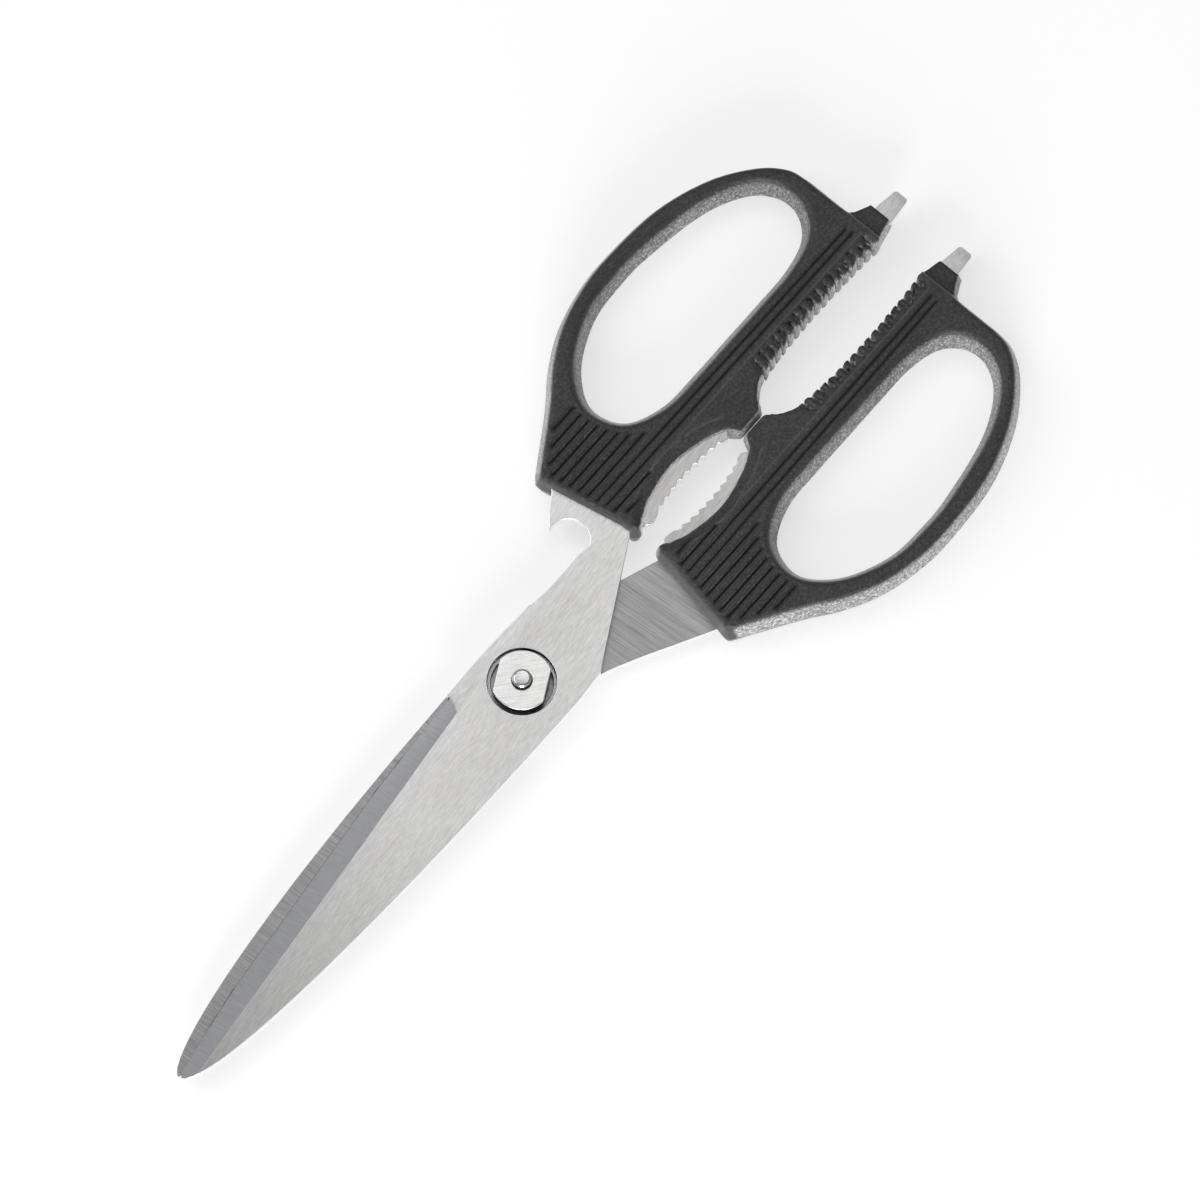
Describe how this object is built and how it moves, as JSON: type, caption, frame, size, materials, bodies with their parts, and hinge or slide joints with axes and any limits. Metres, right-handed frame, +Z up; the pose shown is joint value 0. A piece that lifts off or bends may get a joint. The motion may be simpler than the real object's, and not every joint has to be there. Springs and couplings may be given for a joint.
{
  "type": "poultry shears",
  "caption": "Take-apart poultry shears with looped moulded grips, a bottle-opener hook, toothed nutcracker jaws, a ribbed jar grip and flat driver tips.",
  "frame": {"origin": "middle of the object's box, on the table under the closed shears", "axes": "+X from the blade tips to the handles, +Y towards the front half's finger loop, +Z up from the table"},
  "size_m": [0.247, 0.0962, 0.01],
  "materials": {
    "blade_steel": "satin, ground along the blade",
    "insert_steel": "satin",
    "pivot_steel": "fine turned",
    "grip_plastic": "fine spark-eroded texture"
  },
  "bodies": {
    "rear_half": {"rear_blade": "blade_steel", "rear_handle": "grip_plastic", "rear_jaw": "insert_steel", "rear_driver": "insert_steel", "pivot_boss": "pivot_steel", "pivot_lock_plate": "pivot_steel", "pivot_rivet": "pivot_steel"},
    "front_half": {"front_blade": "blade_steel", "front_handle": "grip_plastic", "front_jaw": "insert_steel", "front_driver": "insert_steel"}
  },
  "joints": [
    {"name": "blade_pivot", "type": "hinge", "parent": "rear_half", "child": "front_half", "pos_m": [-0.0111, 0, 0.0048], "axis": [0, 0, 1], "range_deg": [0, 95]}
  ]
}
